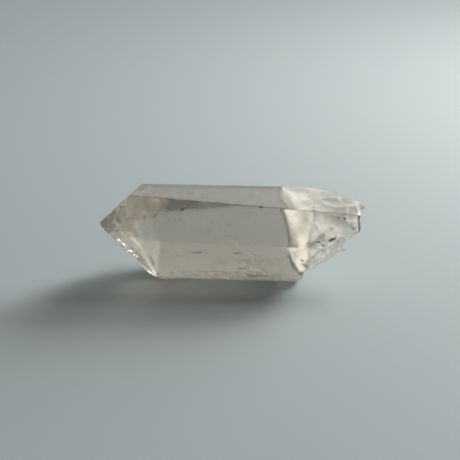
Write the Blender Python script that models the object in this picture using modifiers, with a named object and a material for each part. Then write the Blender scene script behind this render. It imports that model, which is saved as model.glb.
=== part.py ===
"""A single quartz crystal, lying on one of its prism faces.

The crystal grew as one piece. It is a six-sided prism with a natural six-sided point at its -X end
and an oblique, scalloped break at its +X end, where it came away from the rock. The edge that runs
down the front of the point is nicked by a row of small shell-shaped chips.

The part stands in its own frame, in metres: +Z up, X along the crystal with the break at +X, and the
front, where three of its faces show, towards -Y. The origin is on the flat face that it rests on.
"""

import math
import random

import bmesh
import bpy
import numpy as np
from mathutils import Vector

MM = 0.001

# The middle of the finished crystal's box, from the axis that it is drawn about.
BOX_MIDDLE_MM = Vector((-0.624, -0.58, 0.0))

# The six prism faces, in order round the crystal from the top one over the front. Each has the
# elevation of its outward normal, the lean of that normal towards +X (a slight taper), both in
# degrees, the side that it faces, and its distance from the origin in millimetres.
FRONT = -1
BACK = 1
PRISM_FACES = {
    "top": (86.0, 4.0, FRONT, 28.9),
    "front_upper": (31.3, -0.3, FRONT, 21.9),
    "front_lower": (-25.5, -2.3, FRONT, 6.6),
    "rest": (-90.0, 0.0, FRONT, 0.0),
    "back_lower": (-30.0, 0.0, BACK, 4.3),
    "back_upper": (32.4, -3.4, BACK, 21.4),
}

# The point. Its tip stands off the crystal's middle, so each ridge of the prism ends at its own place.
TIP_MM = Vector((-45.9, -4.0, 19.5))
RIDGE_ENDS_MM = {
    ("back_upper", "top"): -31.2,
    ("top", "front_upper"): -34.2,
    ("front_upper", "front_lower"): -24.0,
    ("front_lower", "rest"): -26.7,
    ("rest", "back_lower"): -24.4,
    ("back_lower", "back_upper"): -30.6,
}

# The foot of the point is worn off by one more plane: its normal, and a place on it.
WORN_FOOT_NORMAL = Vector((-0.37, 0.0, -0.93))
WORN_FOOT_MM = Vector((-28.8, -5.3, 2.07))

# The break. It faces right, back and down, and is a curved sheet through these points of its rim,
# given in millimetres in order round the crystal: over the top face from the back, down the front,
# under it and up the back.
BREAK_AZIMUTH = 32.0
BREAK_ELEVATION = -27.0
BREAK_RIM_MM = [
    (16.9, 8.8, 28.4),
    (24.0, 9.2, 28.0),
    (28.7, 8.6, 27.6),
    (33.7, 6.9, 27.2),
    (36.1, 5.2, 26.9),
    (38.1, 2.1, 26.5),
    (40.7, 0.2, 26.2),
    (44.1, -3.1, 25.7),
    (42.2, -7.2, 25.6),
    (41.5, -10.3, 25.5),
    (41.4, -12.3, 22.4),
    (41.0, -13.3, 20.6),
    (38.3, -14.2, 19.2),
    (35.0, -15.5, 17.0),
    (32.9, -15.4, 13.9),
    (30.8, -13.5, 10.0),
    (28.6, -12.8, 8.8),
    (25.7, -11.4, 6.1),
    (23.7, -10.9, 5.4),
    (23.3, -9.3, 2.0),
    (21.4, -8.3, 0.3),
    (23.2, -1.5, 0.0),
    (24.6, 5.0, 0.0),
    (23.0, 7.2, 4.0),
    (20.3, 9.6, 8.0),
    (18.0, 11.9, 12.0),
    (16.4, 14.8, 17.0),
    (16.6, 12.0, 22.5),
]
BREAK_RELAXING = 1.0
BREAK_SHEET_HALF_SIDE_MM = 30.0
BREAK_CELL_MM = 0.9
BREAK_FAR_MM = 120.0

# Scallops of the break: shallow bowls whose rims meet in sharp cusps, as quartz breaks. They are
# shallower where they run out at the rim.
SCALLOP_SEED = 23
SCALLOP_COUNT = 240
SCALLOP_RADIUS_MM = 4.5
SCALLOP_OFFSET_MM = 0.8
SCALLOP_MEAN_MM = 0.9
SCALLOP_AT_RIM = 0.12
SCALLOP_FADE_MM = 3.0
RIM_STEPS = 8

# Chips along the front edge of the point, each the hollow that a ball leaves.
CHIP_SEED = 7
CHIP_COUNT = 11
CHIP_SPAN = (0.03, 0.56)
CHIP_RADIUS_MM = (1.7, 3.2)
CHIP_DEPTH_MM = (0.45, 1.0)
CHIP_ASIDE_MM = 0.5
CHIP_AWAY = Vector((-0.62, -0.62, -0.48))
CHIP_BALL_SUBDIVISIONS = 3

# Clumps of finer chips along the same edge: how far down it, how widely spread, and how many.
FINE_SEED = 5
FINE_CLUMPS = [(0.14, 0.03, 3), (0.38, 0.06, 8), (0.6, 0.06, 8)]
FINE_RADIUS_MM = (1.0, 2.6)
FINE_DEPTH_MM = (0.4, 0.9)
FINE_ASIDE_MM = 0.3
FINE_AWAY = (-0.8, -0.48, -0.36)
FINE_AWAY_SPREAD = 0.12

# The chip that blunts the tip: which way it lies from the tip, its radius and its depth.
TIP_CHIP_AWAY = Vector((-0.97, -0.1, -0.15))
TIP_CHIP_RADIUS_MM = 12.0
TIP_CHIP_DEPTH_MM = 1.0

# A long shallow dent in the front edge of the face that the crystal rests on.
DENT_X_MM = -5.0
DENT_HALF_LENGTH_MM = 40.0
DENT_RADIUS_MM = 3.0
DENT_DEPTH_MM = 0.45
DENT_AWAY = Vector((0.0, -0.5, -0.87))
DENT_SEGMENTS = 24
DENT_RINGS = 48

# The bevel of the worn edges, and how sharp an edge it takes, in degrees.
EDGE_WEAR_MM = 0.28
EDGE_WEAR_ANGLE = 15.0

# The rough block that the crystal is cleaved from, and where it ends at +X.
ROUGH_BLOCK_MM = 160.0
ROUGH_END_MM = 48.0

QUARTZ_COLOUR = (0.62, 0.60, 0.54, 1.0)
QUARTZ_ROUGHNESS = 0.12
QUARTZ_IOR = 1.544


def unit_normal(elevation, lean, side):
    """The outward normal of a prism face."""
    up = math.radians(elevation)
    along = math.radians(lean)
    across = math.cos(along)
    return Vector((math.sin(along), side * math.cos(up) * across, math.sin(up) * across))


def face_plane(name):
    """A prism face's normal and its distance from the origin in millimetres."""
    elevation, lean, side, distance = PRISM_FACES[name]
    return unit_normal(elevation, lean, side), distance


def ridge_point(first, second, x):
    """Where the ridge between two prism faces crosses the plane at x, in millimetres."""
    (a, a_far), (b, b_far) = face_plane(first), face_plane(second)
    right_a = a_far - a.x * x
    right_b = b_far - b.x * x
    size = a.y * b.z - a.z * b.y
    y = (right_a * b.z - right_b * a.z) / size
    z = (a.y * right_b - b.y * right_a) / size
    return Vector((x, y, z))


def cleave(block, point, normal):
    """Cuts away what lies on the normal's side of a plane, and closes the cut with one flat face."""
    geometry = block.verts[:] + block.edges[:] + block.faces[:]
    cut = bmesh.ops.bisect_plane(
        block, geom=geometry, dist=1e-7, plane_co=point * MM, plane_no=normal, clear_outer=True
    )
    rim = [item for item in cut["geom_cut"] if isinstance(item, bmesh.types.BMEdge)]
    bmesh.ops.contextual_create(block, geom=rim)


def crystal_block():
    """The whole crystal before it broke: a block cleaved by its prism faces and the faces of its point."""
    block = bmesh.new()
    bmesh.ops.create_cube(block, size=ROUGH_BLOCK_MM * MM)
    cleave(block, Vector((ROUGH_END_MM, 0, 0)), Vector((1, 0, 0)))
    for name in PRISM_FACES:
        normal, distance = face_plane(name)
        cleave(block, normal * distance, normal)
    corners = [ridge_point(first, second, x) for (first, second), x in RIDGE_ENDS_MM.items()]
    for corner, following in zip(corners, corners[1:] + corners[:1]):
        normal = (corner - TIP_MM).cross(following - TIP_MM).normalized()
        if normal.x > 0:
            normal.negate()
        cleave(block, TIP_MM, normal)
    cleave(block, WORN_FOOT_MM, WORN_FOOT_NORMAL.normalized())
    bmesh.ops.recalc_face_normals(block, faces=block.faces)
    return block


def break_axes():
    """The way that the break faces, and the two directions across it, the first of them level."""
    azimuth, elevation = math.radians(BREAK_AZIMUTH), math.radians(BREAK_ELEVATION)
    level = math.cos(elevation)
    facing = np.array([level * math.cos(azimuth), level * math.sin(azimuth), math.sin(elevation)])
    across = np.array([-math.sin(azimuth), math.cos(azimuth), 0.0])
    return facing, across, np.cross(facing, across)


def spline_kernel(squared):
    """The thin plate's own function of a squared distance."""
    return squared * np.log(np.maximum(squared, 1e-9))


def bent_sheet(p, q):
    """Height of a thin plate, bent through the points of the rim, over places across the break."""
    facing, across, up = break_axes()
    rim = np.array(BREAK_RIM_MM)
    rim_p, rim_q, rim_height = rim @ across, rim @ up, rim @ facing
    count = len(rim)
    system = np.zeros((count + 3, count + 3))
    apart = (rim_p[:, None] - rim_p) ** 2 + (rim_q[:, None] - rim_q) ** 2
    system[:count, :count] = spline_kernel(apart) + BREAK_RELAXING * np.eye(count)
    system[:count, count:] = np.column_stack([np.ones(count), rim_p, rim_q])
    system[count:, :count] = system[:count, count:].T
    weights = np.linalg.solve(system, np.concatenate([rim_height, np.zeros(3)]))
    away = (p[:, None] - rim_p) ** 2 + (q[:, None] - rim_q) ** 2
    bent = spline_kernel(away) @ weights[:count]
    return bent + weights[count] + weights[count + 1] * p + weights[count + 2] * q


def from_rim(p, q):
    """Distance across the break from each place to the nearest point of the rim."""
    _, across, up = break_axes()
    rim = np.array(BREAK_RIM_MM)
    steps = np.arange(RIM_STEPS)[:, None, None] / RIM_STEPS
    fine = (rim * (1 - steps) + np.roll(rim, -1, axis=0) * steps).reshape(-1, 3)
    away_p = p[:, None] - fine @ across
    away_q = q[:, None] - fine @ up
    return np.sqrt((away_p**2 + away_q**2).min(axis=1))


def scallops(p, q):
    """How far the break stands out of its bowls: the nearest bowl's own height over each place."""
    drawn = random.Random(SCALLOP_SEED)
    reach = BREAK_SHEET_HALF_SIDE_MM
    lowest = np.full_like(p, np.inf)
    for _ in range(SCALLOP_COUNT):
        bowl_p = drawn.uniform(-reach, reach)
        bowl_q = drawn.uniform(-reach, reach)
        offset = drawn.uniform(0.0, SCALLOP_OFFSET_MM)
        squared = (p - bowl_p) ** 2 + (q - bowl_q) ** 2
        lowest = np.minimum(lowest, squared / (2 * SCALLOP_RADIUS_MM) + offset)
    return lowest - SCALLOP_MEAN_MM


def break_cutter():
    """All that broke away: the break's sheet, drawn out the way that it faces to a closed block."""
    facing, across, up = break_axes()
    middle = np.mean(BREAK_RIM_MM, axis=0)
    sheet = bmesh.new()
    cells = round(2 * BREAK_SHEET_HALF_SIDE_MM / BREAK_CELL_MM)
    half = BREAK_SHEET_HALF_SIDE_MM
    bmesh.ops.create_grid(sheet, x_segments=cells, y_segments=cells, size=half)
    flat = np.array([vert.co for vert in sheet.verts])
    p, q = flat[:, 0] + middle @ across, flat[:, 1] + middle @ up
    fade = 1 - (1 - SCALLOP_AT_RIM) * np.exp(-((from_rim(p, q) / SCALLOP_FADE_MM) ** 2))
    height = bent_sheet(p, q) + scallops(flat[:, 0], flat[:, 1]) * fade
    placed = height[:, None] * facing + p[:, None] * across + q[:, None] * up
    for vert, place in zip(sheet.verts, placed):
        vert.co = Vector(place) * MM
    drawn_out = bmesh.ops.extrude_face_region(sheet, geom=sheet.faces[:])
    far = [item for item in drawn_out["geom"] if isinstance(item, bmesh.types.BMVert)]
    for vert in far:
        vert.co += Vector(facing * (BREAK_FAR_MM - vert.co.dot(Vector(facing)) / MM)) * MM
    bmesh.ops.recalc_face_normals(sheet, faces=sheet.faces)
    return sheet


def chip_balls():
    """Centres and radii, in millimetres, of the balls that chip the front edge of the point."""
    drawn = random.Random(CHIP_SEED)
    foot = ridge_point("front_lower", "rest", RIDGE_ENDS_MM[("front_lower", "rest")])
    away = CHIP_AWAY.normalized()
    balls = []
    for number in range(CHIP_COUNT):
        share = CHIP_SPAN[0] + (CHIP_SPAN[1] - CHIP_SPAN[0]) * (number + drawn.random()) / CHIP_COUNT
        radius = drawn.uniform(*CHIP_RADIUS_MM)
        depth = drawn.uniform(*CHIP_DEPTH_MM)
        aside = Vector([drawn.uniform(-CHIP_ASIDE_MM, CHIP_ASIDE_MM) for _ in range(3)])
        balls.append((TIP_MM.lerp(foot, share) + away * (radius - depth) + aside, radius))
    return balls


def fine_chips():
    """Centres and radii, in millimetres, of the finer chips' balls and of the one that blunts the tip."""
    drawn = np.random.default_rng(FINE_SEED)
    foot = ridge_point("front_lower", "rest", RIDGE_ENDS_MM[("front_lower", "rest")])
    to_ball = TIP_CHIP_AWAY.normalized() * (TIP_CHIP_RADIUS_MM - TIP_CHIP_DEPTH_MM)
    balls = [(TIP_MM + to_ball, TIP_CHIP_RADIUS_MM)]
    for middle, spread, count in FINE_CLUMPS:
        for _ in range(count):
            share = middle + spread * drawn.uniform(-1, 1)
            radius, depth = drawn.uniform(*FINE_RADIUS_MM), drawn.uniform(*FINE_DEPTH_MM)
            away = Vector(np.add(FINE_AWAY, drawn.normal(0.0, FINE_AWAY_SPREAD, 3))).normalized()
            aside = Vector(drawn.normal(0.0, FINE_ASIDE_MM, 3))
            balls.append((TIP_MM.lerp(foot, share) + away * (radius - depth) + aside, radius))
    return balls


def dent_cutter():
    """A long ball along the front edge of the rest face."""
    start, end = ridge_point("front_lower", "rest", DENT_X_MM), ridge_point("front_lower", "rest", DENT_X_MM + 1)
    along = end - start
    centre = start + DENT_AWAY.normalized() * (DENT_RADIUS_MM - DENT_DEPTH_MM)
    ball = bmesh.new()
    bmesh.ops.create_uvsphere(ball, u_segments=DENT_SEGMENTS, v_segments=DENT_RINGS, radius=1.0)
    size = (DENT_RADIUS_MM * MM, DENT_RADIUS_MM * MM, DENT_HALF_LENGTH_MM * MM)
    bmesh.ops.scale(ball, vec=size, verts=ball.verts)
    bmesh.ops.rotate(ball, cent=(0, 0, 0), matrix=along.to_track_quat("Z", "Y").to_matrix(), verts=ball.verts)
    bmesh.ops.translate(ball, vec=centre * MM, verts=ball.verts)
    return ball


def chip_cutter(centre, radius):
    """One chip's ball."""
    ball = bmesh.new()
    bmesh.ops.create_icosphere(ball, subdivisions=CHIP_BALL_SUBDIVISIONS, radius=radius * MM)
    bmesh.ops.translate(ball, vec=centre * MM, verts=ball.verts)
    return ball


def quartz():
    """Clear, faintly smoky quartz."""
    material = bpy.data.materials.new("clear smoky quartz")
    material.use_nodes = True
    shader = material.node_tree.nodes["Principled BSDF"]
    shader.inputs["Base Color"].default_value = QUARTZ_COLOUR
    shader.inputs["Roughness"].default_value = QUARTZ_ROUGHNESS
    shader.inputs["IOR"].default_value = QUARTZ_IOR
    shader.inputs["Transmission Weight"].default_value = 1.0
    return material


def add_object(name, made, collection):
    """An object from a bmesh, moved from the axis it is drawn about into the part's own frame."""
    bmesh.ops.translate(made, vec=-BOX_MIDDLE_MM * MM, verts=made.verts)
    mesh = bpy.data.meshes.new(name)
    made.to_mesh(mesh)
    made.free()
    obj = bpy.data.objects.new(name, mesh)
    collection.objects.link(obj)
    return obj


def cut_by(obj, name, made, collection):
    """Takes a closed shape away from the object."""
    cutter = add_object(name, made, collection)
    cutter.hide_render = True
    cutter.display_type = "WIRE"
    cut = obj.modifiers.new(name, "BOOLEAN")
    cut.operation = "DIFFERENCE"
    cut.object = cutter


def new_collection(name):
    """A collection in the scene."""
    collection = bpy.data.collections.new(name)
    bpy.context.scene.collection.children.link(collection)
    return collection


def main():
    for obj in list(bpy.data.objects):
        bpy.data.objects.remove(obj, do_unlink=True)
    part = new_collection("quartz crystal")
    cutters = new_collection("cutters")
    crystal = add_object("quartz_crystal", crystal_block(), part)
    crystal.data.materials.append(quartz())
    wear = crystal.modifiers.new("worn edges", "BEVEL")
    wear.width = EDGE_WEAR_MM * MM
    wear.limit_method = "ANGLE"
    wear.angle_limit = math.radians(EDGE_WEAR_ANGLE)
    cut_by(crystal, "break", break_cutter(), cutters)
    cut_by(crystal, "dent", dent_cutter(), cutters)
    for number, (centre, radius) in enumerate(chip_balls() + fine_chips(), 1):
        cut_by(crystal, f"chip_{number}", chip_cutter(centre, radius), cutters)


main()
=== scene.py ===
"""Looks of a single quartz crystal that lies on one of its prism faces."""

import math
import random

import bpy
import numpy as np
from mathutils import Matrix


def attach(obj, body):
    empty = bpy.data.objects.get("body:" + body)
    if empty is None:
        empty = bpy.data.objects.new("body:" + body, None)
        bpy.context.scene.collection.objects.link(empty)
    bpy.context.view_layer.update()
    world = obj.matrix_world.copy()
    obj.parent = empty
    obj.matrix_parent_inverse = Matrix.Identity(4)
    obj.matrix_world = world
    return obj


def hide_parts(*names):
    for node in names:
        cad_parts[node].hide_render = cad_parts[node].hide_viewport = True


bl_info = {
    "name": "Quartz crystal",
    "version": (1, 0, 0),
    "blender": (4, 5, 0),
    "location": "3D View > Sidebar > Crystal",
    "description": "Makes the skin, the inner cracks and veils and the stage of a quartz crystal",
    "category": "Add Mesh",
}

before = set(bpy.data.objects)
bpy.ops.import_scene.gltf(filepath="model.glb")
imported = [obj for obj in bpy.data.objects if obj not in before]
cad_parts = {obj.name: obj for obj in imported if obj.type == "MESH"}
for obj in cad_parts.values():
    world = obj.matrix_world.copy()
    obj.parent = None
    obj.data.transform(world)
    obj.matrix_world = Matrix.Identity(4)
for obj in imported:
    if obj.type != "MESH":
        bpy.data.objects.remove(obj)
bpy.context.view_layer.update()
NODE = "quartz_crystal"
MM = 0.001

# Angles that are drawn at random run from 0 to this.
WHOLE_TURN = 6.28

# How far apart the columns and rows of nodes are.
NODE_COLUMN = 220
NODE_ROW = 280

# The crystal is drawn in millimetres about its own axis, as its solid is. The middle of its box,
# which is given here, goes to the frame's origin.
BOX_MIDDLE = np.array([-0.624, -0.58, 0.0])

# The six prism faces in order round the crystal: the elevation of the outward normal, its lean
# towards +X, the side it faces, and its distance from the axis's foot.
FRONT = -1
BACK = 1
PRISM_FACES = [
    (86.0, 4.0, FRONT, 28.9),
    (31.3, -0.3, FRONT, 21.9),
    (-25.5, -2.3, FRONT, 6.6),
    (-90.0, 0.0, FRONT, 0.0),
    (-30.0, 0.0, BACK, 4.3),
    (32.4, -3.4, BACK, 21.4),
]
TOP, FRONT_UPPER, FRONT_LOWER, REST, BACK_LOWER, BACK_UPPER = range(6)

# Ridge number k is between face k - 1 and face k. The point's own ridges run from the tip to these.
TIP = np.array([-45.9, -4.0, 19.5])
RIDGE_ENDS = np.array([-31.2, -34.2, -24.0, -26.7, -24.4, -30.6])

# The foot of the point is worn off by one more plane: its normal, and a place on it.
WORN_FOOT = np.array([-0.37, 0.0, -0.93]), np.array([-28.8, -5.3, 2.07])

# The break faces this way, in degrees, and is a curved sheet through these points of its rim, in
# order round the crystal: over the top from the back, down the front, under it and up the back.
BREAK_AZIMUTH = 32.0
BREAK_ELEVATION = -27.0
BREAK_RIM = np.array([
    (16.9, 8.8, 28.4), (24.0, 9.2, 28.0), (28.7, 8.6, 27.6), (33.7, 6.9, 27.2),
    (36.1, 5.2, 26.9), (38.1, 2.1, 26.5), (40.7, 0.2, 26.2), (44.1, -3.1, 25.7),
    (42.2, -7.2, 25.6), (41.5, -10.3, 25.5), (41.4, -12.3, 22.4), (41.0, -13.3, 20.6),
    (38.3, -14.2, 19.2), (35.0, -15.5, 17.0), (32.9, -15.4, 13.9), (30.8, -13.5, 10.0),
    (28.6, -12.8, 8.8), (25.7, -11.4, 6.1), (23.7, -10.9, 5.4), (23.3, -9.3, 2.0),
    (21.4, -8.3, 0.3), (23.2, -1.5, 0.0), (24.6, 5.0, 0.0), (23.0, 7.2, 4.0),
    (20.3, 9.6, 8.0), (18.0, 11.9, 12.0), (16.4, 14.8, 17.0), (16.6, 12.0, 22.5),
])
BREAK_RELAXING = 1.0
BREAK_HALF_SIDE = 30.0
RIM_STEPS = 8

# Scallops of the break: shallow bowls whose rims meet in cusps, shallower where they run out at the rim.
SCALLOP_SEED = 23
SCALLOP_COUNT = 240
SCALLOP_RADIUS = 4.5
SCALLOP_OFFSET = 0.8
SCALLOP_MEAN = 0.9
SCALLOP_AT_RIM = 0.12
SCALLOP_FADE = 3.0

# A line along the prism is looked at from one run to the other, at this step, for where it meets the
# break, and the step that holds the meeting is halved this often.
SEEK_RUNS = (20.0, 90.0)
SEEK_STEP = 0.4
SEEK_HALVINGS = 14

# The broken end is cracked inside. The cracks spread as one sheet from this line on the faces, in
# order round it: down the front from the top, out along the foot of the break, and back over the top.
CRACKED_RIM = np.array([
    (16.9, 8.4, 28.4), (15.6, 4.4, 28.3), (15.2, -0.4, 27.9), (14.9, -4.4, 27.7),
    (15.1, -8.2, 27.4), (15.2, -9.3, 27.0), (16.3, -10.3, 25.3), (17.3, -12.0, 22.7),
    (17.8, -13.6, 20.0), (18.6, -15.2, 17.4), (18.8, -15.6, 15.5), (19.2, -14.5, 13.3),
    (20.5, -13.5, 11.0), (21.4, -12.7, 9.4), (23.6, -11.4, 6.3), (24.8, -11.2, 5.9),
    (26.3, -12.2, 7.8), (27.8, -14.0, 11.4), (30.5, -15.6, 14.5), (34.0, -15.2, 17.5),
    (36.4, -13.7, 20.1), (38.7, -12.9, 21.3), (42.4, -12.7, 22.0), (43.0, -10.3, 25.4),
    (44.0, -6.4, 25.5), (45.4, -3.1, 25.7), (43.6, -0.6, 26.0), (40.4, -0.1, 26.2),
    (37.8, 1.7, 26.5), (35.9, 4.7, 26.8), (33.4, 6.2, 27.1), (28.6, 7.8, 27.6),
    (24.0, 8.2, 28.0), (19.7, 8.6, 28.3),
])
CRACKED_RELAXING = 0.5

# The place across the look that the sheet's rows run to, how far it stays inside the faces and the
# break, how far it bulges from its rim and within what distance, how far inside the break its wall is
# full, how ragged its edge is, how it is drawn in until it lies inside the crystal, and how its rows
# crowd towards its rim.
CRACKED_MIDDLE = np.array([27.5, 22.0])
CRACKED_MARGIN = 0.15
CRACKED_BULGE = 30.0
CRACKED_BULGE_REACH = 1.1
CRACKED_WALL = 1.6
CRACKED_RAGGED = 0.25
CRACKED_SHRINK = 0.985
CRACKED_SHRINK_STEPS = 30
CRACKED_HALVINGS = 12
CRACKED_CROWDING = 1.3

# Bowls of the sheet: how many, where across the look and up it they lie, and their size.
CRACKED_SEED = 41
CRACKED_BOWLS = 110
CRACKED_BOWLS_ACROSS = (10, 48)
CRACKED_BOWLS_UP = (5, 40)
CRACKED_BOWL_RADIUS = 7.5
CRACKED_BOWL_OFFSET = 1.0
CRACKED_BOWL_FADE = 2.0

# The look: the way from the camera to the crystal. The sheet of cracks and the veils lie across it.
LOOK_DOWN = math.radians(23.0)
LOOK = np.array([0.0, math.cos(LOOK_DOWN), -math.sin(LOOK_DOWN)])
LOOK_UP = np.array([0.0, -LOOK[2], LOOK[1]])
LOOK_ACROSS = np.array([1.0, 0.0, 0.0])

# Chips along the front edge of the point, each the hollow that a ball leaves.
CHIP_SEED = 7
CHIP_COUNT = 11
CHIP_SPAN = (0.03, 0.56)
CHIP_RADIUS = (1.7, 3.2)
CHIP_DEPTH = (0.45, 1.0)
CHIP_ASIDE = 0.5
CHIP_AWAY = np.array([-0.62, -0.62, -0.48])

# Clumps of finer chips along the same edge: how far down it, how widely spread, and how many.
FINE_SEED = 5
FINE_CLUMPS = [(0.14, 0.03, 3), (0.38, 0.06, 8), (0.6, 0.06, 8)]
FINE_RADIUS = (1.0, 2.6)
FINE_DEPTH = (0.4, 0.9)
FINE_ASIDE = 0.3
FINE_AWAY = np.array([-0.8, -0.48, -0.36])
FINE_AWAY_SPREAD = 0.12

# The chip that blunts the tip: which way it lies from the tip, its radius and its depth.
TIP_CHIP = np.array([-0.97, -0.1, -0.15]), 12.0, 1.0

# A long shallow dent in the front edge of the face that the crystal rests on.
DENT_X = -5.0
DENT_HALF_LENGTH = 40.0
DENT_RADIUS = 3.0
DENT_DEPTH = 0.45
DENT_AWAY = np.array([0.0, -0.5, -0.87])

# How far from the tip its frost reaches.
FROST_REACH = 13.0

# The far end of the break is rough, frosted and tinted darker. This starts at one x and is full at
# the other. It takes in this many rows before the rim, and is this much duller than the tip's frost.
FAR_CRUST = (40.6, 42.0)
FAR_CRUST_ROWS = 2
FAR_CRUST_FROST = 6.0

# Small air-filled cracks just under the chips, each a flat mirror that flashes: how far down the edge
# of the point, how widely spread and how many in each clump, their size, how deep they lie, the way
# that they face on average and how widely they differ from it.
FLASH_SEED = 12
FLASH_CLUMPS = [(0.12, 0.05, 20), (0.36, 0.07, 50), (0.56, 0.06, 40)]
FLASH_SIZE = (0.4, 0.9)
FLASH_THICKNESS = 0.05
FLASH_DEPTH = (1.1, 1.7)
FLASH_ASIDE = 0.35
FLASH_FACING = np.array([0.08, -0.53, 0.84])
FLASH_SPREAD = 0.25
FLASH_AROUND = 12
FLASH_SHARES = (0.5, 0.85, 1.0)
FLASH_RAGGED = 0.3
FLASH_NARROWER = 0.6
FLASH_ROUGHNESS = 0.15

# Thin veils and marks inside the crystal. Each has its middle, its half length and half height, its
# turn about the look in degrees, whether it is pale (0) or dark (1), and how much light it catches.
VEILS = [
    (-25.5, -8.7, 25.3, 2.3, 0.3, 50, 1, 0.6),
    (-21.8, -8.0, 26.5, 1.0, 0.3, 55, 1, 0.55),
    (-16.9, -8.0, 26.5, 1.4, 0.4, 40, 1, 0.6),
    (-12.3, -11.3, 13.1, 2.4, 0.3, 0, 1, 0.6),
    (1.0, -12.0, 13.1, 1.6, 0.35, 5, 1, 0.5),
    (2.7, -8.6, 5.8, 2.0, 0.5, 0, 1, 0.45),
    (10.1, -9.1, 5.6, 0.8, 0.35, 10, 1, 0.55),
    (6.8, -7.7, 2.4, 3.0, 0.3, 0, 1, 0.5),
    (4.3, -10.2, 10.4, 2.0, 0.4, -40, 0, 0.9),
    (6.2, -9.5, 8.5, 1.6, 0.35, 60, 0, 0.8),
    (7.3, -10.7, 12.3, 2.4, 0.3, -15, 0, 0.6),
    (9.5, -7.9, 3.9, 2.6, 0.3, 12, 0, 0.7),
    (4.7, -8.7, 7.1, 1.4, 0.3, -60, 0, 0.6),
    (20.1, -8.6, 2.2, 0.4, 0.4, 0, 0, 1.0),
    (8.9, -8.2, 27.2, 0.8, 0.3, 0, 1, 0.6),
    (5.4, -7.3, 8.8, 13, 3.2, -5, 0, 0.16),
    (-6.3, -5.5, 8.4, 10, 2.5, 5, 0, 0.1),
    (-15.2, -0.7, 28.0, 1.2, 2.2, 80, 1, 0.22),
    (-9.8, -3.8, 27.0, 9, 1.0, -3, 0, 0.15),
    (26.4, -5.9, 26.3, 0.45, 0.35, 0, 1, 0.9),
    (26.2, -9.2, 26.4, 0.5, 0.25, 0, 1, 0.7),
    (30.0, 0.4, 26.5, 0.35, 0.3, 0, 1, 0.7),
    (34.4, -10.4, 24.5, 0.4, 0.3, 0, 1, 0.9),
    (36.4, -10.6, 24.2, 0.45, 0.3, 0, 1, 0.9),
    (19.3, -0.1, 27.3, 0.3, 0.25, 0, 1, 0.6),
    (32.1, -14.1, 18.1, 1.7, 0.5, 25, 1, 0.75),
    (27.5, -14.4, 17.5, 1.0, 0.22, 0, 1, 0.7),
    (29.0, -15.1, 16.6, 0.8, 0.35, -20, 1, 0.55),
    (23.7, -11.6, 8.0, 1.5, 0.8, -35, 0, 1.0),
    (25.5, -12.2, 8.9, 1.3, 0.7, 30, 0, 1.0),
    (22.6, -12.7, 10.3, 0.9, 0.5, -40, 0, 1.0),
    (39.4, -12.1, 21.5, 1.2, 0.8, 30, 0, 1.0),
    (38.2, -11.8, 22.1, 0.7, 0.5, 0, 0, 1.0),
    (-38.0, -4.0, 22.9, 4.2, 3.0, 35, 0, 0.5),
    (-34.9, -5.0, 19.3, 3.0, 2.2, 20, 0, 0.35),
    (-41.0, -4.0, 19.6, 2.0, 1.6, 40, 0, 0.45),
    (-28.5, -8.0, 18.7, 1.3, 4.2, 10, 0, 0.22),
    (-31.5, -9.0, 15.8, 3.5, 0.8, -50, 0, 0.4),
    (-33.2, -8.0, 12.8, 2.5, 0.7, -48, 0, 0.4),
    (-33.2, -9.0, 17.9, 2.6, 0.25, 2, 1, 0.5),
    (-27.5, -9.0, 8.5, 0.6, 3.2, 20, 1, 0.3),
    (-2.0, -6.3, 2.8, 24.0, 2.2, 0.6, 0, 0.5),
]
VEIL_SEED = 3
VEIL_AROUND = 28
VEIL_ROWS = 6
VEIL_THICKNESS = 0.04

# Waves round a veil's outline and the most that each adds to it, and how far a veil bends in depth
# for its length, up to the length that counts.
VEIL_WAVES = (2, 3, 5, 7)
VEIL_WAVE = 0.16
VEIL_BEND = 0.25
VEIL_BEND_LENGTH = 2.0

# A veil or a flash thins towards its outline, as sqrt(1 - taper r2) at a share r of it.
LENS_TAPER = 0.98

# The way to the bright side of the room, and the cosines from it between which its light rises.
BRIGHT_SIDE = (0.7, 0.6, 0.25)
BRIGHT_SIDE_RISE = (-0.6, 0.9)

# Brighter parts of the room. Each has the way to it, the angles in degrees from there at which it
# starts to fade and has faded, and its strength's name among the stage's settings.
BRIGHT_PARTS = [
    ((0.67, 0.69, 0.26), 16.0, 23.0, "window_strength"),
    ((0.72, 0.562, 0.407), 6.5, 9.0, "pane_strength"),
    ((0.0, 0.97, 0.24), 15.0, 50.0, "backdrop_strength"),
]

# Noise patterns in the quartz: how fine each is, in cells to the metre, its detail, and the two values
# between which it turns from weak to strong.
HAZE = (90.0, 3.0, 0.3, 0.7)
CRUST = (480.0, 4.0, 0.38, 0.62)
CRACKS = (380.0, 6.0, 0.35, 0.55)
WISPS = (420.0, 4.0, 0.35, 0.6)

# The haze where it is weak, as a share of the haziest, the crust and the cracks where they are weak,
# and the roughness of the cracks' noise.
HAZE_WEAK = 0.6
CRUST_WEAK = 0.15
CRACKS_WEAK = 0.72
CRACKS_ROUGHNESS = 0.65

# The wisps from weak to strong. The share of caught light that goes back: from the sheet of cracks, at
# its rim and in its wall, and from the veils.
WISPS_RANGE = (0.4, 1.6)
CRACKS_RETURNED = (0.3, 0.6)
VEILS_RETURNED = 0.5

# How fine the grit of the break and the splinters of the chips are, how high, in metres, and quartz's
# index of refraction.
GRIT = (1800.0, 4.0)
SPLINTERS = 1100.0
RELIEF = 0.0001
QUARTZ_INDEX = 1.544

# The floor lies a hair under the crystal. Its sizes, and the lamp's places and side, are in metres.
FLOOR_HALF_SIDE = 3.0
FLOOR_DROP = 0.00003
FLOOR_ROUGHNESS = 0.8
LAMP_PLACE = (0.25, 0.22, 0.33)
LAMP_TARGET = (0.26, 0.22, 0.0)
LAMP_SIDE = 0.2
LAMP_COLOUR = "#FFF9F7"

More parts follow.
